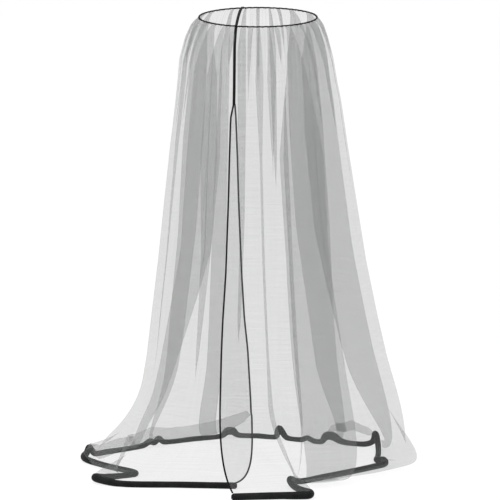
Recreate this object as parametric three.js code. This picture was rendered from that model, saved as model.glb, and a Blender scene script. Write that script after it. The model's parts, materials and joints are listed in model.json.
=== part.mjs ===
// Mosquito net that hangs from the rim of a parasol, millimetres, +Z up.
// The origin is the centre of the rim, the doorway faces -Y and the floor lies HEIGHT below the rim.
import * as THREE from 'three';

// Driving dimensions
const HEIGHT = 2300; // rim to floor
const RIM_RADIUS = 299;
const RIM_CORD = 8; // thickness of the gathering cord
const NET_THICKNESS = 1.2;
const FOLD_START = 4.8; // depth of the gathered edge under the rim cord
const FOLD_END = 1860; // depth where the cloth starts to run out to the tube
const SPLIT = 381; // depth of the top of the doorway
const LAYER_SHARE = 0.14; // distance between the layers of a fold, as a share of its overlap
const LAYER_MIN = 6;
const LAYER_MAX = 24;
const FOLD_MARGIN = 8;
const OPEN_MARGIN = 8;
const SLANT = 0.25; // slope of the middle layer, as a share of the layer distance
const TUBE_SIDES = 10;
const TUBE_CAP = 7;
const HEM_INSET = 12; // distance of the panel edges from the ends of the tube
const HEM_STEP = 72; // largest step between two columns at the hem
const HEM_LAYER = 0.12; // distance between layers that are sewn in closed, as a share of that above
const TAPE_WIDTH = 15;
const TAPE_THICKNESS = 1.6;
const TAPE_ARCH = 18; // rise of the tape across the mouth
const TAPE_BACK = 165; // angle of the tape's end on the back of the rim
const BINDING_WIDTH = 9;
const BINDING_THICKNESS = 2.4;
const BINDING_FOOT = 1.5; // its last turn away from the cloth over the tube's end
const SEWN = 0.3; // distance between pieces that are sewn together
const CLEAR = 0.5;
const EDGE_GAP = 1.04; // from the edge of the cloth to its binding

const named = (names, rows) =>
  rows.map((row) => Object.fromEntries(names.map((name, i) => [name, row[i]])));

// Distance of the cloth from the axis at a depth, in five directions
const PROFILE = named(
  ['depth', 'frontLeft', 'left', 'back', 'right', 'frontRight'],
  [
    [0, 297, 297, 297, 297, 297],
    [20, 317, 319, 317, 315, 317],
    [40, 331, 335, 332, 328, 331],
    [107, 359, 365, 360, 353, 359],
    [215, 387, 394, 390, 383, 387],
    [320, 402, 404, 405, 400, 402],
    [426, 415, 416, 418, 421, 415],
    [658, 436, 445, 448, 455, 455],
    [957, 464, 477, 484, 502, 494],
    [1250, 490, 507, 520, 549, 536],
    [1533, 515, 541, 556, 607, 585],
    [1755, 538, 567, 582, 658, 632],
    [1900, 556, 592, 600, 700, 672],
  ],
);
const WAYS = { frontLeft: 10, left: 90, back: 180, right: 270, frontRight: 370 };

// The doorway: the free edges of the two panels, and half the distance between the panels
const DOOR = named(
  ['depth', 'leftEdge', 'rightEdge', 'apart'],
  [
    [0, -118, -115, 0],
    [300, -121, -118, 0],
    [381, -121.5, -118.5, 3],
    [450, -116.5, -133, 6],
    [640, -109, -139, 8],
    [860, -103, -144.5, 11],
    [1230, -88, -158, 17],
    [1460, -74, -173, 22],
    [1620, -57, -180, 25],
    [1860, -43, -186, 30],
  ],
);

// The folds, from the left panel round the back to the right panel: angle from the front at the
// rim, half way and low, overlap at six levels, side that lies outside, distance inside the
// others, place along the hem, half its length there when open, and share of it sewn in closed
const LEVELS = { rim: 0, shoulder: 250, upper: 650, mid: 1150, low: 1650, foot: 1900 };
const FOLDS = named(
  'top half base rim shoulder upper mid low foot lean inset at span hold'.split(' '),
  [
    [34, 33, 36, 16, 80, 104, 50, 16, 0, 1, 0, 540, 60, 0],
    [48, 46, 64, 26, 150, 205, 196, 122, 90, 1, 48, 1040, 95, 0],
    [62, 70, 78, 58, 24, 0, 0, 0, 0, -1, 0, 1240, 30, 0],
    [74, 80, 86, 56, 36, 0, 0, 0, 0, -1, 0, 1330, 30, 0],
    [101, 101, 101, 52, 38, 0, 0, 0, 0, 1, 0, 1620, 75, 0],
    [129, 133, 131.5, 34, 160, 190, 165, 148, 120, 1, 0, 2105, 80, 0],
    [155, 157, 158, 14, 55, 71, 85, 85, 92, 1, 0, 2455, 45, 1],
    [168, 171, 170, 12, 44, 41, 22, 18, 0, -1, 0, 2573, 52, 0],
    [191, 191, 191, 12, 34, 22, 0, 0, 0, 1, 0, 2881, 56, 0],
    [200, 200, 200, 22, 8, 0, 0, 0, 0, -1, 0, 3068, 42, 0],
    [214, 213, 214, 24, 150, 184, 180, 126, 110, 1, 0, 3222, 72, 0],
    [240, 237, 241, 40, 240, 300, 300, 255, 230, 1, 58, 3508, 100, 0],
    [296, 296, 296, 62, 30, 0, 0, 0, 0, -1, 0, 4000, 80, 0],
    [311, 311, 311, 62, 30, 0, 0, 0, 0, 1, 0, 4200, 50, 0],
    [330, 331.5, 330, 26, 110, 240, 228, 277, 290, -1, 0, 4560, 110, 0.8],
    [350, 351, 351, 16, 46, 10, 0, 0, 0, 1, 0, 4775, 55, 0],
    [359, 357, 354.5, 12, 42, 14, 14, 14, 25, 1, 0, 4890, 40, 0],
    [367, 367, 367, 26, 12, 0, 0, 0, 0, 1, 0, 5100, 75, 0],
  ],
);

// The way the cloth comes to the tube: place along the hem, side of the tube it is sewn to
// (degrees outward from its top), how far it billows out, rises and drops there, and its sway
const HEM = named(
  ['at', 'side', 'billow', 'rise', 'drop', 'sway'],
  [
    [0, 0, -30, 20, 250, -95],
    [200, 0, -50, 50, 240, -40],
    [550, 0, -80, 50, 240, 0],
    [760, 0, -100, 50, 260, 0],
    [900, 55, 150, -20, 260, 0],
    [1050, 75, 250, -30, 260, 0],
    [1300, 60, 200, -30, 270, 0],
    [1480, 20, 20, 20, 280, 0],
    [1620, 0, -180, 60, 300, 0],
    [1820, 10, -140, 50, 280, 0],
    [2080, 60, 70, -20, 220, 0],
    [2380, 80, 200, -40, 200, 0],
    [2640, 80, 190, -40, 200, 0],
    [3150, 70, 100, -35, 190, 0],
    [3520, 75, 90, -45, 190, 0],
    [3720, 78, 150, -45, 180, 0],
    [4030, 80, 345, -45, 170, 0],
    [4500, 80, 300, -45, 170, 0],
    [4680, 50, 240, -40, 170, 0],
    [4780, 0, 160, 10, 190, 0],
    [4950, 0, 60, 20, 200, 0],
    [5150, 0, -160, 50, 240, 0],
    [5560, 0, -160, 30, 280, 70],
  ],
);

// The tube on the floor: place, lift over the floor and thickness
const ROUTE = named(
  ['x', 'y', 'lift', 'across'],
  [
    [-106, -683, 0, 34],
    [-395, -654, 0, 33],
    [-690, -628, 0, 33],
    [-775, -585, 4, 36],
    [-822, -530, 8, 43],
    [-775, -478, 4, 34],
    [-690, -415, 0, 30],
    [-622, -365, 0, 32],
    [-640, -305, 0, 30],
    [-715, -222, 0, 30],
    [-811, -102, 0, 31],
    [-876, 0, 2, 34],
    [-886, 70, 3, 37],
    [-873, 104, 15, 33],
    [-861, 124, 39, 33],
    [-847, 144, 18, 32],
    [-834, 160, 2, 30],
    [-770, 215, 0, 29],
    [-590, 378, 0, 29],
    [-553, 405, 14, 33],
    [-530, 428, 6, 30],
    [-510, 446, 20, 33],
    [-480, 474, 1, 28],
    [-330, 560, 0, 27],
    [-186, 638, 1, 27],
    [-158, 650, 15, 41],
    [-130, 656, 15, 41],
    [-102, 658, 1, 28],
    [0, 640, 0, 27],
    [92, 613, 1, 28],
    [103, 608, 28, 34],
    [110, 604, 42, 36],
    [124, 600, 26, 34],
    [148, 588, 1, 28],
    [222, 540, 0, 27],
    [253, 520, 12, 28],
    [290, 498, 0, 27],
    [326, 484, 1, 28],
    [352, 476, 24, 43],
    [386, 470, 22, 45],
    [416, 466, 8, 36],
    [446, 458, 1, 29],
    [550, 416, 1, 28],
    [588, 404, 16, 30],
    [601, 392, 58, 32],
    [610, 370, 36, 32],
    [616, 300, 3, 29],
    [612, 100, 0, 28],
    [606, -5, 0, 30],
    [638, -60, 8, 36],
    [645, -118, 3, 34],
    [575, -195, 0, 31],
    [340, -438, 0, 31],
    [205, -570, 2, 31],
    [164, -604, 18, 34],
    [168, -660, 9, 34],
    [192, -740, 2, 34],
    [226, -815, 2, 35],
    [262, -885, 3, 38],
    [254, -955, 4, 40],
    [195, -962, 3, 40],
    [130, -945, 0, 38],
    [0, -958, 0, 37],
    [-134, -980, 0, 37],
  ],
);

const NET_ROWS = [FOLD_START, 20, 58, 125, 240, SPLIT, 450, 700, 1100, 1500, FOLD_END];
const FOOT_ROWS = [0.3, 0.55, 0.75, 0.9, 1];

const radians = THREE.MathUtils.degToRad;
const degrees = THREE.MathUtils.radToDeg;
const mix = THREE.MathUtils.lerp;
const ease = (t) => THREE.MathUtils.smoothstep(t, 0, 1);

// Value of a column between the rows of a table
function between(table, key, at, name) {
  let i = 0;
  while (i < table.length - 2 && table[i + 1][key] < at) i += 1;
  const [a, b] = [table[i], table[i + 1]];
  const t = THREE.MathUtils.clamp((at - a[key]) / (b[key] - a[key]), 0, 1);
  return mix(a[name], b[name], t);
}

// Distance of the unfolded cloth from the axis
function radiusAt(angle, depth) {
  const names = Object.keys(WAYS);
  let i = 0;
  while (i < names.length - 2 && WAYS[names[i + 1]] < angle) i += 1;
  const t = (angle - WAYS[names[i]]) / (WAYS[names[i + 1]] - WAYS[names[i]]);
  const s = 0.5 - 0.5 * Math.cos(Math.PI * THREE.MathUtils.clamp(t, 0, 1));
  const a = between(PROFILE, 'depth', depth, names[i]);
  const b = between(PROFILE, 'depth', depth, names[i + 1]);
  return mix(a, b, s);
}

// Angle and overlap of a fold at a depth
function foldAt(fold, depth) {
  const names = Object.keys(LEVELS);
  const levels = names.map((name) => ({ depth: LEVELS[name], over: fold[name] }));
  const d = depth / LEVELS.foot;
  const turn = [
    { d: 0.13, angle: fold.top },
    { d: 0.6, angle: fold.half },
    { d: 1, angle: fold.base },
  ];
  const over = between(levels, 'depth', depth, 'over');
  const most = Math.max(...levels.map((level) => level.over));
  return { angle: between(turn, 'd', d, 'angle'), over, inset: (fold.inset * over) / most };
}

// Cloth of one fold across its three layers: place round the net, depth of the layer
function foldPoints(over) {
  const layer = THREE.MathUtils.clamp(LAYER_SHARE * over, LAYER_MIN, LAYER_MAX);
  const shut = ease(over / (2 * FOLD_MARGIN));
  const half = over / 2;
  const end = half + FOLD_MARGIN + OPEN_MARGIN * (1 - shut);
  const bend = Math.min(layer / 2, 0.6 * half + 1);
  const folded = [
    [-end, layer],
    [half - bend, layer],
    [half, layer * (0.5 + SLANT / 2)],
    [half - bend, layer * SLANT],
    [bend - half, -layer * SLANT],
    [-half, -layer * (0.5 + SLANT / 2)],
    [bend - half, -layer],
    [end, -layer],
  ];
  const last = folded.length - 1;
  return folded.map(([round, out], i) => {
    const level = mix(-end, end, i / last);
    return { round: mix(level, round, shut), out };
  });
}

// Share of the way between two folds at which the cloth has gone from one distance to the other
const EARLY = (t) => 2.2 * t;
const LATE = (t) => 1.8 * t - 0.8;
const ROOM = 0.4; // least angle between two folds

// All columns of the cloth at one depth: angle, distance from the plain form, place on the hem
function section(depth, hemLength) {
  const apart = between(DOOR, 'depth', depth, 'apart');
  const edgeAngle = (x, way, out) => degrees(Math.asin(-x / (radiusAt(way, depth) + out)));
  const start = edgeAngle(between(DOOR, 'depth', depth, 'leftEdge'), 12, -apart);
  const stop = 360 + edgeAngle(between(DOOR, 'depth', depth, 'rightEdge'), 372, apart);
  const list = [{ angle: start, out: -apart, at: HEM_INSET, layer: 0 }];
  const runTo = (next, ramp) => {
    const from = list[list.length - 1];
    const steps = Math.max(2, Math.ceil((next.at - from.at) / HEM_STEP));
    for (let i = 1; i < steps; i += 1) {
      const t = i / steps;
      list.push({
        angle: mix(from.angle, next.angle, t),
        out: mix(from.out, next.out, ease(ramp(t))),
        at: mix(from.at, next.at, t),
        layer: 0,
      });
    }
  };
  for (const fold of FOLDS) {
    const { angle, over, inset } = foldAt(fold, depth);
    const around = radiusAt(angle, depth);
    const points = foldPoints(over);
    const low = foldPoints(foldAt(fold, FOLD_END).over);
    const columns = points.map((point, i) => ({
      angle: angle + degrees(point.round / around),
      out: fold.lean * point.out - inset,
      at: fold.at + mix(fold.span * mix(-1, 1, i / (points.length - 1)), low[i].round, fold.hold),
      layer: fold.lean * low[i].out * fold.hold,
    }));
    const before = list[list.length - 1];
    if (before.angle > columns[0].angle - ROOM) {
      const middle = (before.angle + columns[0].angle) / 2;
      before.angle = middle - ROOM / 2;
      columns[0].angle = middle + ROOM / 2;
    }
    runTo(columns[0], list.length > 1 ? EARLY : LATE);
    list.push(...columns);
  }
  const end = { angle: stop, out: apart, at: hemLength - HEM_INSET, layer: 0 };
  runTo(end, EARLY);
  list.push(end);
  const tight = mix(0.6, 1, ease(depth / 60));
  return list.map((column) => ({ ...column, out: column.out * tight }));
}

function sectionPoint(column, depth) {
  const r = radiusAt(column.angle, depth) + column.out;
  const a = radians(column.angle);
  return new THREE.Vector3(-r * Math.sin(a), -r * Math.cos(a), -depth);
}

// The tube's line through the route, with places measured along it
const FLAT = Math.cos(Math.PI / TUBE_SIDES);
const routeCurve = new THREE.CatmullRomCurve3(
  ROUTE.map((p) => new THREE.Vector3(p.x, p.y, -HEIGHT + p.lift + (FLAT * p.across) / 2)),
  false,
  'centripetal',
);
const ROUTE_PER = 24;
const routeFine = routeCurve.getPoints((ROUTE.length - 1) * ROUTE_PER);
const routeMarks = [];
routeFine.forEach((point, i) => {
  const before = i ? routeMarks[i - 1] : { at: 0, point };
  const row = Math.min(Math.floor(i / ROUTE_PER), ROUTE.length - 2);
  const across = mix(ROUTE[row].across, ROUTE[row + 1].across, i / ROUTE_PER - row);
  routeMarks.push({ at: before.at + point.distanceTo(before.point), point, across });
});
const TUBE_LENGTH = routeMarks[routeMarks.length - 1].at;

function routeAt(at) {
  let i = 0;
  while (i < routeMarks.length - 2 && routeMarks[i + 1].at < at) i += 1;
  const [a, b] = [routeMarks[i], routeMarks[i + 1]];
  const t = (at - a.at) / (b.at - a.at);
  return { point: a.point.clone().lerp(b.point, t), across: mix(a.across, b.across, t) };
}

function routeWay(at, reach) {
  const from = routeAt(Math.max(at - reach, 0)).point;
  const to = routeAt(Math.min(at + reach, TUBE_LENGTH)).point;
  return to.sub(from).normalize();
}

// Directions along the tube, out to its side and square to both
function routeFrame(at) {
  const way = routeWay(at, 10);
  const side = new THREE.Vector3(-way.y, way.x, 0).normalize();
  return { way, side, over: side.clone().cross(way).negate() };
}

const UP = new THREE.Vector3(0, 0, 1);

// The net's middle surface: rows down, columns round
function netGrid() {
  const columnsEnd = section(FOLD_END, TUBE_LENGTH);
  const rows = NET_ROWS.map((depth) =>
    section(depth, TUBE_LENGTH).map((column) => sectionPoint(column, depth)),
  );
  const above = section(FOLD_END - 60, TUBE_LENGTH);
  const feet = columnsEnd.map((column, i) => {
    const start = sectionPoint(column, FOLD_END);
    const slope = start.clone().sub(sectionPoint(above[i], FOLD_END - 60)).divideScalar(60);
    const hem = (name) => between(HEM, 'at', column.at, name);
    const { point, across } = routeAt(column.at);
    const way = routeWay(column.at, 100).setZ(0).normalize();
    const { side: sideways, over } = routeFrame(column.at);
    const outward = point.clone().setZ(0).normalize();
    const stacked = column.layer ? HEM_LAYER * (column.layer + LAYER_MAX) : 0;
    const reach = across / 2 + NET_THICKNESS / 2 + SEWN + CLEAR + stacked;
    const side = radians(hem('side'));
    const sewn = point
      .clone()
      .addScaledVector(sideways, reach * Math.sin(side))
      .addScaledVector(over, reach * Math.cos(side));
    const approach = sewn
      .clone()
      .addScaledVector(outward, hem('billow') + 0.7 * column.layer)
      .addScaledVector(UP, hem('rise') - 0.7 * column.layer * Math.sign(hem('billow')))
      .addScaledVector(way, hem('sway'));
    const hang = start.clone().addScaledVector(slope, hem('drop'));
    return new THREE.CubicBezierCurve3(start, hang, approach, sewn);
  });
  FOOT_ROWS.forEach((t) => rows.push(feet.map((curve) => curve.getPoint(t))));
  return { rows, columns: columnsEnd };
}

function gridNormals(rows) {
  return rows.map((row, r) =>
    row.map((_, c) => {
      const down = rows[Math.min(r + 1, rows.length - 1)][c].clone();
      down.sub(rows[Math.max(r - 1, 0)][c]);
      const round = row[Math.min(c + 1, row.length - 1)].clone().sub(row[Math.max(c - 1, 0)]);
      return round.cross(down).normalize();
    }),
  );
}

// A closed body from rows of rings, with the two end rings filled
function loft(rings) {
  const count = rings[0].length;
  const at = rings.flat().flatMap((p) => [p.x, p.y, p.z]);
  const index = [];
  for (let r = 0; r + 1 < rings.length; r += 1) {
    for (let c = 0; c < count; c += 1) {
      const [a, b] = [r * count + c, r * count + ((c + 1) % count)];
      index.push(a, b, a + count, b, b + count, a + count);
    }
  }
  const cap = THREE.ShapeUtils.triangulateShape;
  const last = (rings.length - 1) * count;
  for (const [first, turn] of [[0, true], [last, false]]) {
    const flat = Array.from({ length: count }, (_, i) => {
      const a = (2 * Math.PI * i) / count;
      return new THREE.Vector2(Math.cos(a), Math.sin(a));
    });
    for (const [i, j, k] of cap(flat, [])) {
      index.push(...(turn ? [first + i, first + k, first + j] : [first + i, first + j, first + k]));
    }
  }
  return closed(at, index);
}

// Body with its faces turned outward
function closed(at, index) {
  const corner = (i) => new THREE.Vector3(at[3 * i], at[3 * i + 1], at[3 * i + 2]);
  let volume = 0;
  for (let i = 0; i < index.length; i += 3) {
    volume += corner(index[i]).dot(corner(index[i + 1]).cross(corner(index[i + 2])));
  }
  if (volume < 0) index.reverse();
  const geometry = new THREE.BufferGeometry();
  geometry.setAttribute('position', new THREE.Float32BufferAttribute(at, 3));
  geometry.setIndex(index);
  return geometry;
}

// The sheet with its thickness, closed along its four edges
function sheet(rows, normals, thickness) {
  const [high, wide] = [rows.length, rows[0].length];
  const skin = (way) =>
    rows.flatMap((row, r) =>
      row.flatMap((p, c) => p.clone().addScaledVector(normals[r][c], (way * thickness) / 2).toArray()),
    );
  const at = [...skin(1), ...skin(-1)];
  const back = high * wide;
  const index = [];
  for (let r = 0; r + 1 < high; r += 1) {
    for (let c = 0; c + 1 < wide; c += 1) {
      const [a, b, d, e] = [r * wide + c, r * wide + c + 1, (r + 1) * wide + c, (r + 1) * wide + c + 1];
      index.push(a, b, e, a, e, d);
      index.push(back + a, back + e, back + b, back + a, back + d, back + e);
    }
  }
  const edge = [];
  for (let c = 0; c < wide; c += 1) edge.push(c);
  for (let r = 1; r < high; r += 1) edge.push(r * wide + wide - 1);
  for (let c = wide - 2; c >= 0; c -= 1) edge.push((high - 1) * wide + c);
  for (let r = high - 2; r > 0; r -= 1) edge.push(r * wide);
  edge.forEach((a, i) => {
    const b = edge[(i + 1) % edge.length];
    index.push(b, a, back + a, b, back + a, back + b);
  });
  return closed(at, index);
}

// A flat band along a line of places, each with its width and thickness directions
function band(places, width, thickness) {
  const corners = [[-1, -1], [1, -1], [1, 1], [-1, 1]];
  return loft(
    places.map(({ point, across, out }) =>
      corners.map(([w, t]) =>
        point
          .clone()
          .addScaledVector(across, (w * width) / 2)
          .addScaledVector(out, (t * thickness) / 2),
      ),
    ),
  );
}

// Net
const { rows: netRows, columns: netColumns } = netGrid();
const netNormals = gridNormals(netRows);
const net = sheet(netRows, netNormals, NET_THICKNESS);

// Rim cord
const rimCord = new THREE.TorusGeometry(RIM_RADIUS, RIM_CORD / 2, 8, 72);

// Tape: up over the joined edges, round the rim and across the mouth
const splitRow = NET_ROWS.indexOf(SPLIT);
const lastColumn = netColumns.length - 1;
const tapePlaces = [];
for (let r = splitRow; r >= 0; r -= 1) {
  const [left, right] = [netRows[r][0], netRows[r][lastColumn]];
  const out = netNormals[r][0].clone().add(netNormals[r][lastColumn]).normalize();
  const across = right.clone().sub(left).setZ(0);
  if (across.x < 0) across.negate();
  const middle = left.clone().lerp(right, 0.5);
  const ring = new THREE.Vector3(-middle.y, middle.x, 0).normalize();
  const apart = between(DOOR, 'depth', NET_ROWS[r], 'apart');
  const lift = apart + NET_THICKNESS / 2 + TAPE_THICKNESS / 2 + SEWN + CLEAR;
  tapePlaces.push({ point: middle.addScaledVector(out, lift), across: ring, out });
}
const rimFront = netRows[0][0].clone().lerp(netRows[0][lastColumn], 0.5).setZ(0).setLength(RIM_RADIUS);
const rimBack = new THREE.Vector3(-Math.sin(radians(TAPE_BACK)), -Math.cos(radians(TAPE_BACK)), 0);
rimBack.multiplyScalar(RIM_RADIUS);
const overCord = RIM_CORD / 2 + TAPE_THICKNESS / 2 + SEWN + CLEAR;
const frontOut = rimFront.clone().normalize();
const frontRing = new THREE.Vector3(-frontOut.y, frontOut.x, 0);
for (const turn of [0, 30, 60]) {
  const out = frontOut.clone().multiplyScalar(Math.cos(radians(turn)));
  out.addScaledVector(UP, Math.sin(radians(turn)));
  const point = rimFront.clone().addScaledVector(out, overCord + 1.5 * Math.cos(radians(turn)));
  tapePlaces.push({ point, across: frontRing, out });
}
const crossing = rimBack.clone().sub(rimFront);
const crossRing = new THREE.Vector3(crossing.y, -crossing.x, 0).normalize();
const MOUTH_STEPS = 12;
for (let i = 0; i <= MOUTH_STEPS; i += 1) {
  const t = i / MOUTH_STEPS;
  const rise = overCord + TAPE_ARCH * Math.sin(Math.PI * t);
  const point = rimFront.clone().lerp(rimBack, t).addScaledVector(UP, rise);
  const slope = (TAPE_ARCH * Math.PI * Math.cos(Math.PI * t)) / crossing.length();
  const out = UP.clone().addScaledVector(crossing.clone().normalize(), -slope).normalize();
  const across = frontRing.clone().lerp(crossRing, ease(t / 0.3)).normalize();
  tapePlaces.push({ point, across, out });
}
const tape = band(tapePlaces, TAPE_WIDTH, TAPE_THICKNESS);

// Door bindings: one along the free edge of each panel, from the split to the tube
function binding(edge, inside) {
  const places = [];
  for (let r = splitRow; r < netRows.length; r += 1) {
    const across = netRows[r][edge].clone().sub(netRows[r][inside]).normalize();
    const out = netNormals[r][edge].clone();
    const foot = r === netRows.length - 1 ? BINDING_FOOT : 0;
    const point = netRows[r][edge].clone().addScaledVector(across, BINDING_WIDTH / 2 + EDGE_GAP + foot);
    places.push({ point: point.addScaledVector(UP, foot), across, out });
  }
  return band(places, BINDING_WIDTH, BINDING_THICKNESS);
}
const bindingLeft = binding(0, 1);
const bindingRight = binding(lastColumn, lastColumn - 1);

// Base tube: a soft filled sleeve, flat where it rests on the floor
const TUBE_STEP = 6; // least distance between two rings
const tubeStations = [0];
for (const { at } of [...netColumns].sort((a, b) => a.at - b.at)) {
  if (at - tubeStations[tubeStations.length - 1] > TUBE_STEP) tubeStations.push(at);
}
tubeStations.push(TUBE_LENGTH);
function tubeRing(at, scale, shift) {
  const { point, across } = routeAt(at);
  const { way, side, over } = routeFrame(at);
  const ahead = routeWay(Math.min(at + 10, TUBE_LENGTH), 8);
  const bend = ahead.sub(routeWay(Math.max(at - 10, 0), 8)).divideScalar(20);
  const tight = bend.length();
  const inner = bend.clone().normalize();
  return Array.from({ length: TUBE_SIDES }, (_, i) => {
    const a = (2 * Math.PI * (i + 0.5)) / TUBE_SIDES;
    const off = new THREE.Vector3()
      .addScaledVector(side, Math.sin(a) * (across / 2) * scale)
      .addScaledVector(over, -Math.cos(a) * (across / 2) * scale);
    const toward = off.dot(inner) * tight;
    if (tight > 1e-6 && toward > 0.7) off.addScaledVector(inner, (0.7 - toward) / tight);
    const p = point.clone().addScaledVector(way, shift).add(off);
    p.z = Math.max(p.z, -HEIGHT);
    return p;
  });
}
const tubeRings = tubeStations.map((at) => tubeRing(at, 1, 0));
tubeRings.unshift(tubeRing(0, 0.62, -TUBE_CAP));
tubeRings.push(tubeRing(TUBE_LENGTH, 0.62, TUBE_CAP));
const baseTube = loft(tubeRings);

const group = new THREE.Group();
group.name = 'parasol_mosquito_net';
function add(name, geometry, color, roughness) {
  const material = new THREE.MeshStandardMaterial({ color, roughness, metalness: 0 });
  const mesh = new THREE.Mesh(geometry, material);
  mesh.name = name;
  group.add(mesh);
}
add('net', net, 0x8a8d8c, 0.9);
add('rim_cord', rimCord, 0x3c3c3c, 0.8);
add('tape', tape, 0x282828, 0.8);
add('binding_left', bindingLeft, 0x282828, 0.8);
add('binding_right', bindingRight, 0x282828, 0.8);
add('base_tube', baseTube, 0x3a3c3c, 0.7);

export default group;
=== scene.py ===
# A mosquito net that hangs from a parasol: a sheer dark skirt gathered on a round cord, with a
# lapped doorway at the front and a soft filled tube along its hem that lies on the floor.
import json
import math

import bmesh
import bpy
import numpy as np
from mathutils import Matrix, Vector

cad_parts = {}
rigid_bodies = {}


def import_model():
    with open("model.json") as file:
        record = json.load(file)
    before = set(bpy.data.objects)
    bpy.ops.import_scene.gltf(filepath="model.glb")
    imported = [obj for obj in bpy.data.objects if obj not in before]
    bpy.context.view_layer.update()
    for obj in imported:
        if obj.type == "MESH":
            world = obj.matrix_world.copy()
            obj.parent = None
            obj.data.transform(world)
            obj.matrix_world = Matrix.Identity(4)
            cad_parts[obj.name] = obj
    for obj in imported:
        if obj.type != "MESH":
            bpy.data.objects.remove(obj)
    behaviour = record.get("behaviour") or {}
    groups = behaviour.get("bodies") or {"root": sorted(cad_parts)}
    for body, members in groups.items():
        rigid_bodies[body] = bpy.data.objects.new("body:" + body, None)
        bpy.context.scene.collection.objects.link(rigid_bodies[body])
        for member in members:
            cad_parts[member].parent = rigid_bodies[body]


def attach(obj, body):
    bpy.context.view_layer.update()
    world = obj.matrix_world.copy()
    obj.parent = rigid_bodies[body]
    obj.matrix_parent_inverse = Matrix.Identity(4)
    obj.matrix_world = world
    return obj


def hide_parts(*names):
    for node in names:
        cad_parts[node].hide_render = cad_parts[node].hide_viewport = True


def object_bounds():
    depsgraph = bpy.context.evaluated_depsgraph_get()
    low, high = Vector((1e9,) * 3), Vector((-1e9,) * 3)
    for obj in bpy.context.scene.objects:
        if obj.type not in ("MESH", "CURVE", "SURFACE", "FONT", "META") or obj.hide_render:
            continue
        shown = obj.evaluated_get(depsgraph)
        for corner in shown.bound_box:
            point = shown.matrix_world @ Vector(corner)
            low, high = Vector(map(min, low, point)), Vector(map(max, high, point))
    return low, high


for leftover in list(bpy.data.objects):
    bpy.data.objects.remove(leftover)
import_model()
cad_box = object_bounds()

# Studio
# A plain pale floor under the hem, an even white surround and one broad soft lamp overhead.
# The camera stands far off with a long lens, a little above the doorway and square to it.
FLOOR = round(cad_box[0][2], 4)
FLOOR_SIZE = 14
FLOOR_SINK = 0.0005
LOOK_DOWN = math.radians(10.35)
LENS = 1000
SENSOR = 36
PIXELS_PER_METRE = 197.4
FRAME_WIDTH = 500 / PIXELS_PER_METRE
AIM_RIGHT = -8 / PIXELS_PER_METRE
AIM_DOWN = 232.8 / PIXELS_PER_METRE
LAMP_PLACE = Vector((-1.2, -2.2, 4.2))
LAMP_TARGET = Vector((0, 0, -1.4))
scene = bpy.context.scene
scene.view_settings.view_transform = "Standard"
scene.cycles.transparent_max_bounces = 64
surround = bpy.data.worlds.new("white_surround")
surround.use_nodes = True
surround.node_tree.nodes["Background"].inputs["Color"].default_value = (1, 1, 1, 1)
surround.node_tree.nodes["Background"].inputs["Strength"].default_value = 1.0
scene.world = surround


class Thread:
    """A value in a finish: sums and products on it add their nodes."""

    def __init__(self, tree, socket=None):
        self.tree = tree
        self.socket = socket

    def node(self, kind, settings=None, sockets=None, out=0):
        made = self.tree.nodes.new("ShaderNode" + kind)
        for name, value in (settings or {}).items():
            setattr(made, name, value)
        for name, value in (sockets or {}).items():
            if isinstance(value, Thread):
                self.tree.links.new(value.socket, made.inputs[name])
            else:
                made.inputs[name].default_value = value
        return Thread(self.tree, made.outputs[out])

    def combine(self, operation, a, b):
        return self.node("Math", {"operation": operation}, {0: a, 1: b})

    def __add__(self, other):
        return self.combine("ADD", self, other)

    def __sub__(self, other):
        return self.combine("SUBTRACT", self, other)

    def __rsub__(self, other):
        return self.combine("SUBTRACT", other, self)

    def __mul__(self, other):
        return self.combine("MULTIPLY", self, other)

    __radd__ = __add__
    __rmul__ = __mul__

    def stripes(self, pitch):
        """Goes smoothly from 0 to 1 and back once in each pitch."""
        wave = self.node("Math", {"operation": "COSINE"}, {0: self * (2 * math.pi / pitch)})
        return 0.5 - wave * 0.5

    def between(self, low, high):
        """0 below low, 1 above high."""
        return self.node("MapRange", {"clamp": True}, {1: low, 2: high, 3: 0.0, 4: 1.0, 0: self})

    def tint(self, a, b):
        """Colour a where the value is 0 and b where it is 1."""
        return self.node("Mix", {"data_type": "RGBA"}, {0: self, 6: (*a, 1), 7: (*b, 1)}, 2)

    def split(self):
        """The two coordinates of a cloth map."""
        return [self.node("SeparateXYZ", sockets={0: self}, out=k) for k in (0, 1)]

    def noise(self, scale, detail, stretch=None):
        """Soft noise over these coordinates, which a stretch draws out into streaks."""
        at = self.node("Mapping", sockets={"Vector": self, "Scale": stretch}) if stretch else self
        return self.node("TexNoise", sockets={"Vector": at, "Scale": scale, "Detail": detail})


def new_finish(name):
    """A plain material with its shader and a start for its nodes."""
    finish = bpy.data.materials.new(name)
    finish.use_nodes = True
    return finish, finish.node_tree.nodes["Principled BSDF"], Thread(finish.node_tree)


def feed(shader, name, value):
    """Links a value to one of the shader's sockets."""
    value.tree.links.new(value.socket, shader.inputs[name])


def piece(name, bm, finish):
    """An object at the origin from a finished bmesh."""
    mesh = bpy.data.meshes.new(name)
    bm.to_mesh(mesh)
    bm.free()
    mesh.shade_smooth()
    made = bpy.data.objects.new(name, mesh)
    made.data.materials.append(finish)
    scene.collection.objects.link(made)
    return made


pale, pale_shader, start = new_finish("pale_floor")
pale_shader.inputs["Base Color"].default_value = (0.16, 0.16, 0.16, 1)
pale_shader.inputs["Roughness"].default_value = 0.9
pale_shader.inputs["Specular IOR Level"].default_value = 0.0
pale_shader.inputs["Emission Color"].default_value = (1, 1, 1, 1)
pale_shader.inputs["Emission Strength"].default_value = 0.84
bm = bmesh.new()
bmesh.ops.create_grid(bm, x_segments=1, y_segments=1, size=FLOOR_SIZE)
bmesh.ops.translate(bm, verts=bm.verts, vec=(0, 0, FLOOR - FLOOR_SINK))
piece("floor", bm, pale)

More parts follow.
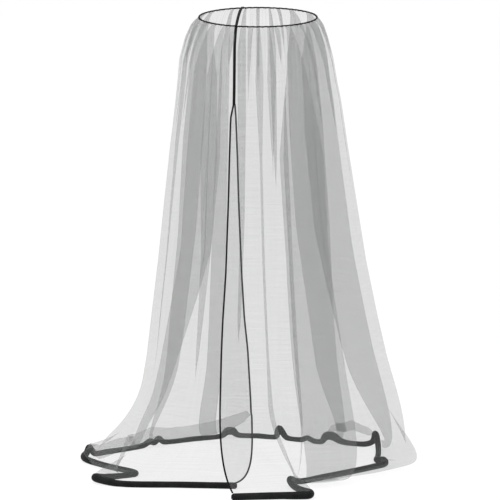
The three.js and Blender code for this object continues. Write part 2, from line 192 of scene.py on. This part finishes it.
lamp = bpy.data.lights.new("soft_lamp", "AREA")
lamp.shape = "DISK"
lamp.size = 5
lamp.energy = 260
lamp_stand = bpy.data.objects.new("soft_lamp", lamp)
lamp_stand.location = LAMP_PLACE
lamp_stand.rotation_euler = (LAMP_TARGET - LAMP_PLACE).to_track_quat("-Z", "Y").to_euler()
scene.collection.objects.link(lamp_stand)

eye = bpy.data.cameras.new("eye")
eye.lens = LENS
eye.sensor_width = SENSOR
eye.clip_end = 300
stand = bpy.data.objects.new("eye", eye)
gaze = Vector((0, math.cos(LOOK_DOWN), -math.sin(LOOK_DOWN)))
upward = Vector((0, math.sin(LOOK_DOWN), math.cos(LOOK_DOWN)))
aim = Vector((AIM_RIGHT, 0, 0)) - upward * AIM_DOWN
stand.location = aim - gaze * (FRAME_WIDTH * LENS / SENSOR)
stand.rotation_euler = gaze.to_track_quat("-Z", "Y").to_euler()
scene.collection.objects.link(stand)
scene.camera = stand

# Base tube
# A sewn sleeve of coated dark cloth, filled with water or sand so that it weighs the hem down.
# It lies round the net on the floor from one door edge to the other, with kinks and humps.
MM = 0.001
ROUTE = np.array([  # x, y, lift over the floor and thickness
    (-106, -683, 0, 34), (-395, -654, 0, 33), (-690, -628, 0, 33), (-775, -585, 4, 36),
    (-822, -530, 8, 43), (-775, -478, 4, 34), (-690, -415, 0, 30), (-622, -365, 0, 32),
    (-640, -305, 0, 30), (-715, -222, 0, 30), (-811, -102, 0, 31), (-876, 0, 2, 34),
    (-886, 70, 3, 37), (-873, 104, 15, 33), (-861, 124, 39, 33), (-847, 144, 18, 32),
    (-834, 160, 2, 30), (-770, 215, 0, 29), (-590, 378, 0, 29), (-553, 405, 14, 33),
    (-530, 428, 6, 30), (-510, 446, 20, 33), (-480, 474, 1, 28), (-330, 560, 0, 27),
    (-186, 638, 1, 27), (-158, 650, 15, 41), (-130, 656, 15, 41), (-102, 658, 1, 28),
    (0, 640, 0, 27), (92, 613, 1, 28), (103, 608, 28, 34), (110, 604, 42, 36),
    (124, 600, 26, 34), (148, 588, 1, 28), (222, 540, 0, 27), (253, 520, 12, 28),
    (290, 498, 0, 27), (326, 484, 1, 28), (352, 476, 24, 43), (386, 470, 22, 45),
    (416, 466, 8, 36), (446, 458, 1, 29), (550, 416, 1, 28), (588, 404, 16, 30),
    (601, 392, 58, 32), (610, 370, 36, 32), (616, 300, 3, 29), (612, 100, 0, 28),
    (606, -5, 0, 30), (638, -60, 8, 36), (645, -118, 3, 34), (575, -195, 0, 31),
    (340, -438, 0, 31), (205, -570, 2, 31), (164, -604, 18, 34), (168, -660, 9, 34),
    (192, -740, 2, 34), (226, -815, 2, 35), (262, -885, 3, 38), (254, -955, 4, 40),
    (195, -962, 3, 40), (130, -945, 0, 38), (0, -958, 0, 37), (-134, -980, 0, 37),
], float)
TUBE_SIDES = 22
TUBE_STEP = 6
TUBE_REST = 0.96
ROUTE_FINE = 24
BEND_REACH = 10
END_ROUNDING = 14
PUCKER = 0.8
PUCKER_PITCH = 13
TIGHTEST = 0.7


def unit(rows):
    return rows / np.maximum(np.linalg.norm(rows, axis=-1, keepdims=True), 1e-9)


def along_route():
    """Points on the smooth line through the route, their places along it and thicknesses."""
    middle = np.column_stack([ROUTE[:, :2], FLOOR / MM + ROUTE[:, 2] + ROUTE[:, 3] / 2 * TUBE_REST])
    ends = np.vstack([2 * middle[0] - middle[1], middle, 2 * middle[-1] - middle[-2]])
    t = np.linspace(0, 1, ROUTE_FINE, endpoint=False)[:, None]
    line = []
    for a, b, c, d in zip(ends, ends[1:], ends[2:], ends[3:]):
        before, here, after = (np.sqrt(np.linalg.norm(q - p)) for p, q in ((a, b), (b, c), (c, d)))
        leave = here * ((b - a) / before - (c - a) / (before + here) + (c - b) / here)
        reach = here * ((c - b) / here - (d - b) / (here + after) + (d - c) / after)
        square = 3 * (c - b) - 2 * leave - reach
        cube = 2 * (b - c) + leave + reach
        line.append(b + leave * t + square * t**2 + cube * t**3)
    line = np.vstack(line + [middle[-1:]])
    place = np.concatenate([[0], np.cumsum(np.linalg.norm(np.diff(line, axis=0), axis=1))])
    across = np.interp(np.arange(len(line)) / ROUTE_FINE, np.arange(len(ROUTE)), ROUTE[:, 3])
    return line, place, across


route_line, route_place, route_across = along_route()
TUBE_LENGTH = route_place[-1]


def route_at(at):
    return np.column_stack([np.interp(at, route_place, route_line[:, k]) for k in range(3)])


def route_way(at, reach):
    return unit(route_at(np.minimum(at + reach, TUBE_LENGTH)) - route_at(np.maximum(at - reach, 0)))


def route_frame(at):
    """Directions along the tube, out to its side and up from it."""
    way = route_way(at, BEND_REACH)
    side = unit(np.column_stack([-way[:, 1], way[:, 0], 0 * at]))
    return way, side, -np.cross(side, way)


def sleeve(bm, rings, closed=False):
    """Closed skin over rows of rings, welded along its seam, with its ends filled."""
    rows, sides = rings.shape[:2]
    skin = bmesh.ops.create_grid(bm, x_segments=sides, y_segments=rows - 1, size=1, calc_uvs=True)["verts"]
    for v in skin:
        column = round((v.co.x + 1) / 2 * sides) % sides
        v.co = rings[round((v.co.y + 1) / 2 * (rows - 1)), column]
    bmesh.ops.remove_doubles(bm, verts=skin, dist=1e-6)
    if not closed:
        bmesh.ops.holes_fill(bm, edges=[e for e in bm.edges if e.is_boundary], sides=0)


def tube_rings():
    """Rings along the sleeve, puckered and squeezed on the inside of its bends."""
    at = np.append(np.arange(0, TUBE_LENGTH, TUBE_STEP), TUBE_LENGTH)
    way, side, over = route_frame(at)
    ahead = route_way(np.minimum(at + BEND_REACH, TUBE_LENGTH), 8)
    behind = route_way(np.maximum(at - BEND_REACH, 0), 8)
    bend = (ahead - behind) / (2 * BEND_REACH)
    tight = np.linalg.norm(bend, axis=1)
    inner = unit(bend)
    radius = np.interp(at, route_place, route_across) / 2
    slack = 0.5 + 0.5 * np.sin(at / 71) * np.sin(at / 113 + 1)
    radius = radius * (1 + 0.015 * np.sin(at / 31) * slack)
    end = np.minimum(at, TUBE_LENGTH - at)
    radius = radius * np.sqrt(1 - np.clip(1 - end / END_ROUNDING, 0, 1) ** 2 * 0.75)
    rings = []
    for k in range(TUBE_SIDES):
        turn = 2 * math.pi * (k + 0.5) / TUBE_SIDES
        off = side * (math.sin(turn) * radius)[:, None] - over * (math.cos(turn) * radius)[:, None]
        inside = np.einsum("ij,ij->i", off, inner) * tight
        pucker = PUCKER * np.clip(inside * 3, 0, 1) * np.sin(at * 2 * math.pi / PUCKER_PITCH)
        off = off + unit(off) * pucker[:, None]
        squeeze = np.where(inside > TIGHTEST, (TIGHTEST - inside) / np.maximum(tight, 1e-6), 0)
        off = off + inner * squeeze[:, None]
        point = route_at(at) + off
        point[:, 2] = np.maximum(point[:, 2], FLOOR / MM)
        rings.append(point)
    return np.stack(rings, 1) * MM


def emboss(shader, height, strength, depth):
    """Gives the surface a fine relief."""
    relief = {"Strength": strength, "Distance": depth, "Height": height}
    feed(shader, "Normal", height.node("Bump", sockets=relief))


coated, coated_shader, start = new_finish("coated_sleeve_cloth")
round_way, long_way = start.node("UVMap", {"uv_map": "cloth"}).split()
length = long_way * (TUBE_LENGTH * MM)
weave = length.stripes(0.0016) * (round_way * 0.09).stripes(0.0016)
spot = start.node("TexCoord", out=3)
scuff = spot.noise(26.0, 4.0)
dust = spot.noise(5.0, 2.0)
crease = spot.noise(60.0, 3.0)
off_seam = start.node("Math", {"operation": "ABSOLUTE"}, {0: round_way - 0.5})
seam = 1 - off_seam.between(0.004, 0.012)
stitch = seam * length.stripes(0.007).between(0.35, 0.5)
wear = (scuff * 0.7 + dust * 0.3 - stitch * 0.25).between(0.3, 0.75)
feed(coated_shader, "Base Color", wear.tint((0.005, 0.0053, 0.0053), (0.016, 0.0168, 0.0168)))
feed(coated_shader, "Roughness", 0.48 + scuff * 0.22)
height = weave * 0.25 + crease * 1.2 - seam * 1.5 + stitch * 1.2
emboss(coated_shader, height, 0.35, 0.0012)
coated_shader.inputs["Specular IOR Level"].default_value = 0.07

bm = bmesh.new()
bm.loops.layers.uv.new("cloth")
sleeve(bm, tube_rings())
bmesh.ops.recalc_face_normals(bm, faces=bm.faces)
base_tube = piece("base_tube_sleeve", bm, coated)
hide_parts("base_tube")
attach(base_tube, "root")

# Net
# One wide piece of sheer polyester mesh, tapered to its top edge, gathered into folds there and
# sewn to the tube along its hem. Its two free edges lap over each other as the doorway.
PROFILE = np.array([  # depth, distance from the axis at the front left, left, back, right, front right
    (0, 297, 297, 297, 297, 297), (20, 317, 319, 317, 315, 317), (40, 331, 335, 332, 328, 331),
    (107, 359, 365, 360, 353, 359), (215, 387, 394, 390, 383, 387), (320, 402, 404, 405, 400, 402),
    (426, 415, 416, 418, 421, 415), (658, 436, 445, 448, 455, 455), (957, 464, 477, 484, 502, 494),
    (1250, 490, 507, 520, 549, 536), (1533, 515, 541, 556, 607, 585), (1755, 538, 567, 582, 658, 632),
    (1900, 556, 592, 600, 700, 672),
], float)
WAYS = np.array([10, 90, 180, 270, 370], float)
DOOR = np.array([  # depth, free edge of the left panel, of the right panel, half the distance between them
    (0, -118, -115, 0), (300, -121, -118, 0), (381, -121.5, -118.5, 3), (450, -116.5, -133, 6),
    (640, -109, -139, 8), (860, -103, -144.5, 11), (1230, -88, -158, 17), (1460, -74, -173, 22),
    (1620, -57, -180, 25), (1860, -43, -186, 30),
], float)
LEVELS = (0, 250, 650, 1150, 1650, 1900)
# Each fold: its angle at the rim, half way and low, its overlap at the six levels, the side that
# lies outside, its inset, and its place on the hem, half its length there and share sewn in closed
FOLDS = [
    ((23, 23, 23), (34, 0, 0, 0, 0, 0), 1, 0, (300, 20, 0)),
    ((34, 33, 36), (16, 80, 104, 50, 16, 0), 1, 0, (540, 60, 0)),
    ((48, 46, 64), (26, 150, 205, 196, 122, 90), 1, 48, (1040, 70, 0.4)),
    ((62, 70, 78), (58, 24, 0, 0, 0, 0), -1, 0, (1240, 30, 0)),
    ((74, 80, 86), (56, 36, 0, 0, 0, 0), -1, 0, (1330, 30, 0)),
    ((88, 90, 93), (44, 0, 0, 0, 0, 0), 1, 0, (1450, 15, 0)),
    ((101, 101, 101), (52, 38, 0, 0, 0, 0), 1, 0, (1620, 75, 0)),
    ((114, 114, 114), (54, 10, 0, 0, 0, 0), -1, 0, (1760, 15, 0)),
    ((129, 133, 131.5), (34, 160, 190, 165, 148, 120), 1, 0, (2105, 60, 0.4)),
    ((155, 157, 158), (14, 55, 71, 85, 85, 92), 1, 0, (2462, 45, 1)),
    ((168, 171, 170), (12, 44, 41, 22, 18, 0), -1, 0, (2573, 52, 0)),
    ((180, 180, 180), (18, 16, 0, 0, 0, 0), 1, 0, (2720, 30, 0)),
    ((191, 191, 191), (12, 34, 22, 0, 0, 0), 1, 0, (2881, 56, 0)),
    ((200, 200, 200), (22, 8, 0, 0, 0, 0), -1, 0, (3068, 42, 0)),
    ((214, 213, 214), (24, 150, 184, 180, 126, 110), 1, 0, (3222, 72, 0.5)),
    ((240, 237, 241), (40, 240, 300, 300, 255, 230), 1, 58, (3560, 70, 0.4)),
    ((258, 258, 258), (50, 0, 0, 0, 0, 0), 1, 0, (3700, 15, 0)),
    ((270, 270, 270), (46, 0, 0, 0, 0, 0), -1, 0, (3770, 15, 0)),
    ((282, 282, 282), (48, 14, 0, 0, 0, 0), 1, 0, (3835, 15, 0)),
    ((296, 296, 296), (62, 30, 0, 0, 0, 0), -1, 0, (4000, 80, 0)),
    ((311, 311, 311), (62, 30, 0, 0, 0, 0), 1, 0, (4200, 50, 0)),
    ((330, 331.5, 330), (26, 110, 240, 228, 277, 290), -1, 0, (4560, 110, 0.8)),
    ((342, 342, 342), (30, 0, 0, 0, 0, 0), 1, 0, (4740, 10, 0)),
    ((350, 351, 351), (16, 46, 10, 0, 0, 0), 1, 0, (4790, 20, 0)),
    ((359, 357, 354.5), (12, 42, 14, 14, 14, 25), 1, 0, (4880, 40, 0.3)),
    ((367, 367, 367), (26, 12, 0, 0, 0, 0), 1, 0, (5100, 75, 0)),
]
HEM = np.array([  # place along the hem, side of the tube it is sewn to, billow, rise, drop and sway
    (0, 0, -30, 20, 250, -95), (200, 0, -50, 50, 240, -40), (550, 0, -80, 50, 240, 0),
    (760, 0, -100, 50, 260, 0), (900, 55, 150, -20, 260, 0), (1050, 75, 250, -30, 260, 0),
    (1300, 60, 200, -30, 270, 0), (1480, 20, 20, 20, 280, 0), (1620, 0, -180, 60, 300, 0),
    (1820, 10, -140, 50, 280, 0), (2080, 60, 70, -20, 220, 0), (2380, 80, 200, -40, 200, 0),
    (2640, 80, 190, -40, 200, 0), (3150, 70, 100, -35, 190, 0), (3520, 75, 90, -45, 190, 0),
    (3720, 78, 150, -45, 180, 0), (4030, 80, 345, -45, 170, 0), (4500, 80, 300, -45, 170, 0),
    (4680, 50, 240, -40, 170, 0), (4780, 0, 160, 10, 190, 0), (4950, 0, 60, 20, 200, 0),
    (5150, 0, -160, 50, 240, 0), (5560, 0, -160, 30, 280, 70),
], float)
SWAG = np.array([  # place along the hem; the sagging crease's share of the way down, turn, height, depth
    (0, 0.12, 0.04, 0, 0), (45, 0.13, 0.042, 52, 12), (150, 0.19, 0.05, 62, 15),
    (300, 0.25, 0.055, 60, 15), (470, 0.3, 0.06, 58, 15), (760, 0.34, 0.06, 58, 14),
    (1000, 0.38, 0.06, 58, 12), (1150, 0.46, 0.06, 60, 12), (1300, 0.6, 0.07, 60, 12),
    (1480, 0.72, 0.07, 40, 8), (1600, 0.8, 0.07, 0, 0), (3110, 0.84, 0.06, 0, 0),
    (3190, 0.74, 0.06, 36, 12), (3300, 0.6, 0.06, 52, 14), (3390, 0.66, 0.06, 44, 12),
    (3460, 0.76, 0.06, 0, 0), (5600, 0.76, 0.06, 0, 0),
], float)
FOLD_START = 4.8
FOLD_END = 1860
SPLIT = 381
HEM_INSET = 12
HEM_STEP = 28
FOLD_MARGIN = 8
LAYER_SHARE = 0.14
LAYER_MOST = 24
LAYER_SPREAD = 0.7
SEWN_OFF = 0.6
SEWN_LAYER = 0.12
SLANT = 0.25
SLOPE_SPAN = 60
TURN_LEVELS = (0.13, 0.6, 1)
DOOR_ANGLE = 12.0
ROOM = 0.4
LAYER_COLUMNS = 3
TURN_COLUMNS = 4


def ease(t):
    t = np.clip(t, 0, 1)
    return t * t * (3 - 2 * t)


def cloth_radius(angle, depth):
    """Distance of the unfolded cloth from the axis."""
    reach = np.array([np.interp(depth, PROFILE[:, 0], PROFILE[:, k + 1]) for k in range(len(WAYS))])
    k = np.clip(np.searchsorted(WAYS, angle, side="right") - 1, 0, len(WAYS) - 2)
    t = np.clip((angle - WAYS[k]) / (WAYS[k + 1] - WAYS[k]), 0, 1)
    return reach[k] + (reach[k + 1] - reach[k]) * (0.5 - 0.5 * np.cos(np.pi * t))


def fold_path(over):
    """Cloth across the three layers of one fold: place round the net and distance out."""
    layer = np.clip(LAYER_SHARE * over, 1, LAYER_MOST)
    shut = ease(over / (2 * FOLD_MARGIN))
    half = over / 2
    end = half + FOLD_MARGIN * (2 - shut)
    bend = min(layer / 2, 0.6 * half + 1)
    turn = np.linspace(0, np.pi, TURN_COLUMNS)
    straight = np.linspace(0, 1, LAYER_COLUMNS + 1)
    first = np.column_stack([-end + (half - bend + end) * straight[:-1], np.full(LAYER_COLUMNS, layer)])
    swing = (1 + SLANT) / 2 + (1 - SLANT) / 2 * np.cos(turn)
    out_turn = np.column_stack([half - bend + bend * np.sin(turn), layer * swing])
    middle = np.column_stack([(half - bend) * (1 - 2 * straight), layer * SLANT * (1 - 2 * straight)])[1:-1]
    last = np.vstack([first, out_turn])[::-1] * -1
    folded = np.vstack([first, out_turn, middle, last])
    level = np.linspace(-end, end, len(folded))
    return level + (folded[:, 0] - level) * shut, folded[:, 1]


HEM_PLACES = [HEM_INSET, *(fold[-1][0] for fold in FOLDS), TUBE_LENGTH - HEM_INSET]
RUN_STEPS = [max(3, math.ceil((b - a) / HEM_STEP)) for a, b in zip(HEM_PLACES, HEM_PLACES[1:])]


def cloth_row(depth):
    """All columns of the cloth at one depth: angle, distance out, place on the hem, layer there."""
    edge_left, edge_right, apart = (np.interp(depth, DOOR[:, 0], DOOR[:, k]) for k in (1, 2, 3))
    reach_left, reach_right = cloth_radius(np.array([DOOR_ANGLE, 360 + DOOR_ANGLE]), depth)
    first = np.degrees(np.arcsin(-edge_left / (reach_left - apart)))
    final = 360 + np.degrees(np.arcsin(-edge_right / (reach_right + apart)))
    parts = [np.array([[first, -apart, HEM_INSET, 0]])]

    def run_to(target, steps, late=False):
        source = parts[-1][-1]
        t = np.linspace(0, 1, steps + 1)[1:-1, None]
        run = source + (target - source) * t
        ramp = 1.8 * t - 0.8 if late else 2.2 * t
        run[:, 1] = (source[1] + (target[1] - source[1]) * ease(ramp))[:, 0]
        parts.append(run)

    for (turns, overs, lean, inset, (at, span, hold)), steps in zip(FOLDS, RUN_STEPS):
        over = np.interp(depth, LEVELS, overs)
        angle = np.interp(depth / LEVELS[-1], TURN_LEVELS, turns)
        around, out = fold_path(over)
        fold = np.column_stack([
            angle + np.degrees(around / cloth_radius(np.array([angle]), depth)),
            lean * out - inset * over / max(overs),
            at + span * (1 - hold) * np.linspace(-1, 1, len(around)) + hold * around,
            lean * out * hold,
        ])
        before = parts[-1][-1]
        if before[0] > fold[0, 0] - ROOM:
            meet = (before[0] + fold[0, 0]) / 2
            before[0], fold[0, 0] = meet - ROOM / 2, meet + ROOM / 2
        run_to(fold[0], steps, late=len(parts) == 1)
        parts.append(fold)
    stop = np.array([final, apart, TUBE_LENGTH - HEM_INSET, 0])
    run_to(stop, RUN_STEPS[-1])
    row = np.vstack(parts + [stop[None]])
    row[:, 1] *= 0.6 + 0.4 * ease(depth / 60)
    return row


def row_points(row, depth):
    """Points of a row of the cloth."""
    reach = cloth_radius(row[:, 0], depth) + row[:, 1]
    turn = np.radians(row[:, 0])
    return np.column_stack([-reach * np.sin(turn), -reach * np.cos(turn), np.full(len(row), -depth)])


NET_DEPTHS = np.concatenate([
    FOLD_START + 316 * np.linspace(0, 1, 24) ** 1.8,
    np.linspace(350, FOLD_END, 48),
])
NET_DEPTHS[np.argmin(abs(NET_DEPTHS - SPLIT))] = SPLIT
FOOT_ROWS = 56


def cloth_grid():
    """The net's surface, rows down and columns round, and the place of each column across the cloth."""
    rows = [row_points(cloth_row(depth), depth) for depth in NET_DEPTHS]
    low = cloth_row(FOLD_END)
    at = low[:, 2]
    start = rows[-1]
    above = FOLD_END - SLOPE_SPAN
    slope = (start - row_points(cloth_row(above), above)) / SLOPE_SPAN
    side, billow, rise, drop, sway = (np.interp(at, HEM[:, 0], HEM[:, k])[:, None] for k in range(1, 6))
    point = route_at(at)
    along = unit(route_way(at, 100) * (1, 1, 0))
    way, sideways, over = route_frame(at)
    outward = unit(point * (1, 1, 0))
    layer = low[:, 3:4]
    stacked = np.where(layer == 0, 0, layer + LAYER_MOST)
    reach = np.interp(at, route_place, route_across)[:, None] / 2 + SEWN_OFF + SEWN_LAYER * stacked
    sewn = point + sideways * reach * np.sin(np.radians(side)) + over * reach * np.cos(np.radians(side))
    approach = sewn + outward * (billow + LAYER_SPREAD * layer) + along * sway
    approach[:, 2:] += rise - LAYER_SPREAD * layer * np.sign(billow)
    hang = start + slope * drop
    crease, tight, height, depth = (np.interp(at, SWAG[:, 0], SWAG[:, k])[:, None] for k in range(1, 5))
    for t in np.linspace(0, 1, FOOT_ROWS + 1)[1:]:
        u = 1 - t
        row = start * u**3 + hang * 3 * u**2 * t + approach * 3 * u * t**2 + sewn * t**3
        turn = (t - crease) / tight
        turn = turn * np.exp((1 - turn**2) / 2)
        rows.append(row - outward * depth * turn + np.array([0, 0, 1]) * height * turn)
    width = np.concatenate([[0], np.cumsum(np.linalg.norm(np.diff(start, axis=0), axis=1))])
    return np.array(rows) * MM, width * MM


sheer, sheer_shader, start = new_finish("sheer_mesh")
uv = start.node("UVMap", {"uv_map": "cloth"})
weft, warp = uv.split()
threads = weft.stripes(0.0016) + warp.stripes(0.0016)
streak = uv.noise(3.0, 3.0, stretch=(1.2, 55.0, 1.0))
cloud = uv.noise(2.2, 3.0)
gather = uv.noise(3.0, 2.0, stretch=(34.0, 0.7, 1.0))
crowd = 1 - warp.between(0.02, 0.55)
drawn_in = 1 - warp.between(0.05, 0.3)
pleat = (gather - 0.5) * (crowd * 0.4 + 0.05) + drawn_in * 0.035
cover = 0.207 + pleat + (threads - 1.0) * 0.02 + (streak - 0.5) * 0.12 + (cloud - 0.5) * 0.03
feed(sheer_shader, "Alpha", cover)
feed(sheer_shader, "Base Color", cloud.between(0.3, 0.7).tint((0.182, 0.19, 0.187), (0.2, 0.206, 0.203)))
feed(sheer_shader, "Roughness", 0.72 + streak * 0.2)
sheer_shader.inputs["Specular IOR Level"].default_value = 0.15

net_points, net_stations = cloth_grid()
rows, columns = net_points.shape[:2]
downward = np.concatenate([[0], np.cumsum(np.linalg.norm(np.diff(net_points, axis=0), axis=2).mean(1))])
bm = bmesh.new()
cloth_uv = bm.loops.layers.uv.new("cloth")
bmesh.ops.create_grid(bm, x_segments=columns - 1, y_segments=rows - 1, size=1)
place_of = {}
for v in bm.verts:
    column = round((v.co.x + 1) / 2 * (columns - 1))
    row = round((v.co.y + 1) / 2 * (rows - 1))
    place_of[v] = (net_stations[column], downward[row])
    v.co = net_points[row, column]
for face in bm.faces:
    for loop in face.loops:
        loop[cloth_uv].uv = place_of[loop.vert]
net = piece("sheer_net", bm, sheer)
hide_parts("net")
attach(net, "root")

# Rim cord
# A laid cord of three dark strands that is drawn through the top of the net and tied to the
# parasol, with a turn of thread round it at each gather to hold the cloth.
RIM_RADIUS = 299
CORD_RADIUS = 3.5
LOBE = 0.7
CORD_SIDES = 18
TWISTS = 58
GATHERS = 64
WHIP_REACH = 4.5
WHIP_RADIUS = 0.45
WHIP_SIDES = 5


def ring_frame(turn):
    """Outward direction at angles round the rim."""
    return np.column_stack([-np.sin(turn), -np.cos(turn), 0 * turn])


def cord_rings():
    """Rings of three lobes that turn as they go round the rim."""
    turn = np.linspace(0, 2 * math.pi, TWISTS * 10 + 1)
    outward = ring_frame(turn)
    rings = []
    for k in range(CORD_SIDES):
        a = 2 * math.pi * k / CORD_SIDES
        reach = CORD_RADIUS + LOBE * np.cos(3 * (a - turn * TWISTS / 3))
        point = outward * (RIM_RADIUS + reach * math.cos(a))[:, None]
        point[:, 2] = reach * math.sin(a)
        rings.append(point)
    return np.stack(rings, 1) * MM


def whip_rings(turn):
    """One turn of thread round the cord, that sags a little under it."""
    outward = ring_frame(np.array([turn]))[0]
    tangent = np.array([outward[1], -outward[0], 0])
    loop = np.linspace(0, 2 * math.pi, 13)
    rings = []
    under = np.clip(-np.sin(loop), 0, 1)
    for k in range(WHIP_SIDES):
        a = 2 * math.pi * k / WHIP_SIDES
        reach = WHIP_REACH + WHIP_RADIUS * np.cos(a) + under**2 * 3
        point = outward * (RIM_RADIUS + (reach - under * 2) * np.cos(loop))[:, None]
        point[:, 2] = reach * np.sin(loop)
        rings.append(point + tangent * WHIP_RADIUS * math.sin(a))
    return np.stack(rings, 1) * MM


laid, laid_shader, start = new_finish("laid_cord")
spot = start.node("TexCoord", out=3)
fibre = spot.noise(900.0, 3.0)
fade = spot.noise(14.0, 2.0)
worn = (fibre * 0.5 + fade * 0.5).between(0.3, 0.7)
feed(laid_shader, "Base Color", worn.tint((0.004, 0.004, 0.004), (0.011, 0.011, 0.011)))
feed(laid_shader, "Roughness", 0.6 + fibre * 0.3)
laid_shader.inputs["Specular IOR Level"].default_value = 0.06
emboss(laid_shader, fibre, 0.4, 0.0004)
bm = bmesh.new()
bm.loops.layers.uv.new("cloth")
sleeve(bm, cord_rings(), closed=True)
for k in range(GATHERS):
    sleeve(bm, whip_rings(2 * math.pi * (k + 0.3 * math.sin(5 * k)) / GATHERS), closed=True)
bmesh.ops.recalc_face_normals(bm, faces=bm.faces)
rim_cord = piece("laid_rim_cord", bm, laid)
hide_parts("rim_cord")
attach(rim_cord, "root")

# Tape
# A woven tape sewn over the joined front edges from the top of the doorway to the rim. It goes
# over the cord there, bows across the mouth and is turned round the cord at the back.
TAPE_WIDTH = 15
TAPE_THICKNESS = 1.6
TAPE_ARCH = 18
TAPE_BACK = 165
TAPE_OFF = 2.2
OVER_CORD = 6
WEBBING_DARK = (0.003, 0.003, 0.003)
WEBBING_LIGHT = (0.012, 0.012, 0.012)


def band_rings(points, across, out, width, thickness):
    """Rings of a flat band with softly rounded edges."""
    section = [(-0.5, -0.25), (-0.46, -0.5), (-0.2, -0.5), (0.2, -0.5), (0.46, -0.5), (0.5, -0.25),
               (0.5, 0.25), (0.46, 0.5), (0.2, 0.5), (-0.2, 0.5), (-0.46, 0.5), (-0.5, 0.25)]
    return np.stack([points + across * w * width + out * t * thickness for w, t in section], 1)


def tape_rings():
    """Rings of the tape from the doorway up the net, over the rim and across to its back."""
    up = np.array([0, 0, 1.0])
    split = np.argmin(abs(NET_DEPTHS - SPLIT))
    points, across, out = [], [], []
    for r in range(split, -1, -1):
        left, right = net_points[r, 0] / MM, net_points[r, -1] / MM
        middle = (left + right) / 2
        low, high = (net_points[min(max(r + k, 0), split), 0] for k in (1, -1))
        slope = unit((high - low)[None])[0]
        ring = unit(np.array([[-middle[1], middle[0], 0]]))[0]
        outward = unit(np.cross(slope, ring)[None])[0]
        if outward @ middle < 0:
            outward = -outward
        apart = np.interp(NET_DEPTHS[r], DOOR[:, 0], DOOR[:, 3])
        points.append(middle + outward * (apart + TAPE_OFF))
        across.append(ring)
        out.append(outward)
    front = unit((net_points[0, 0] + net_points[0, -1])[None] * (1, 1, 0))[0]
    back = ring_frame(np.radians([TAPE_BACK]))[0]
    front_ring = np.array([-front[1], front[0], 0])
    back_ring = np.array([back[1], -back[0], 0])
    for a in np.radians([0, 20, 40, 60, 75]):
        outward = front * math.cos(a) + up * math.sin(a)
        points.append(front * RIM_RADIUS + outward * (OVER_CORD + 1.2 * math.cos(a)))
        across.append(front_ring)
        out.append(outward)
    crossing = (back - front) * RIM_RADIUS
    for t in np.linspace(0.01, 0.99, 30):
        rise = OVER_CORD + TAPE_ARCH * math.sin(math.pi * t)
        tilt = TAPE_ARCH * math.pi * math.cos(math.pi * t) / np.linalg.norm(crossing)
        points.append(front * RIM_RADIUS + crossing * t + up * rise)
        across.append(unit((front_ring + (back_ring - front_ring) * ease(t))[None])[0])
        out.append(unit((up - unit(crossing[None])[0] * tilt)[None])[0])
    for a in np.radians([75, 50, 25, 0, -25, -50]):
        outward = back * math.cos(a) + up * math.sin(a)
        points.append(back * RIM_RADIUS + outward * OVER_CORD)
        across.append(back_ring)
        out.append(outward)
    return band_rings(*map(np.array, (points, across, out)), TAPE_WIDTH, TAPE_THICKNESS) * MM


def woven_tape(name, rings):
    """A band of webbing with a rib, two rows of stitches and slight wear."""
    length = np.linalg.norm(np.diff(rings.mean(1), axis=0), axis=1).sum()
    webbing, shader, start = new_finish(name + "_webbing")
    round_way, long_way = start.node("UVMap", {"uv_map": "cloth"}).split()
    far = long_way * length
    rib = far.stripes(0.0022) * 0.6 + (round_way * 12).stripes(0.5) * 0.4
    line = (round_way * 4).stripes(2).between(0.9, 0.97)
    stitch = line * far.stripes(0.0065).between(0.35, 0.55)
    wear = start.node("TexCoord", out=3).noise(60.0, 4.0)
    worn = (wear * 0.6 + rib * 0.25 + stitch * 0.3).between(0.25, 0.95)
    feed(shader, "Base Color", worn.tint(WEBBING_DARK, WEBBING_LIGHT))
    feed(shader, "Roughness", 0.62 + wear * 0.25)
    emboss(shader, rib * 0.6 + stitch * 1.5 + wear * 0.4, 0.5, 0.0006)
    shader.inputs["Specular IOR Level"].default_value = 0.06
    bm = bmesh.new()
    bm.loops.layers.uv.new("cloth")
    sleeve(bm, rings)
    bmesh.ops.recalc_face_normals(bm, faces=bm.faces)
    return piece(name, bm, webbing)


tape = woven_tape("rim_tape", tape_rings())
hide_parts("tape")
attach(tape, "root")

# Door bindings
# A narrow folded tape sewn along the free edge of each panel, from the top of the doorway down
# to the tube's end. The right panel's edge hangs in front of the left one's.
BINDING_WIDTH = 9
BINDING_THICKNESS = 2.4
BINDING_FOOT = 1.5
EDGE_GAP = 0.4
DOOR_EDGES = [  # piece, node, column of the net and way from the cloth to its binding
    ("left_door_binding", "binding_left", 0, 1),
    ("right_door_binding", "binding_right", -1, -1),
]


def binding_rings(edge, way):
    """Rings down one free edge of the net, with a last turn away from the tube."""
    split = np.argmin(abs(NET_DEPTHS - SPLIT))
    line = net_points[split:, edge] / MM
    slope = unit(np.gradient(line, axis=0))
    across = unit(np.array([way, 0, 0]) - way * slope[:, :1] * slope)
    out = unit(np.cross(across, slope))
    out = out * np.sign(np.einsum("ij,ij->i", out, line * (1, 1, 0)))[:, None]
    foot = np.where(np.arange(len(line)) == len(line) - 1, BINDING_FOOT, 0)[:, None]
    points = line + across * (BINDING_WIDTH / 2 + EDGE_GAP + foot) + np.array([0, 0, 1]) * foot
    return band_rings(points, across, out, BINDING_WIDTH, BINDING_THICKNESS) * MM


for name, node, edge, way in DOOR_EDGES:
    binding = woven_tape(name, binding_rings(edge, way))
    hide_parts(node)
    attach(binding, "root")
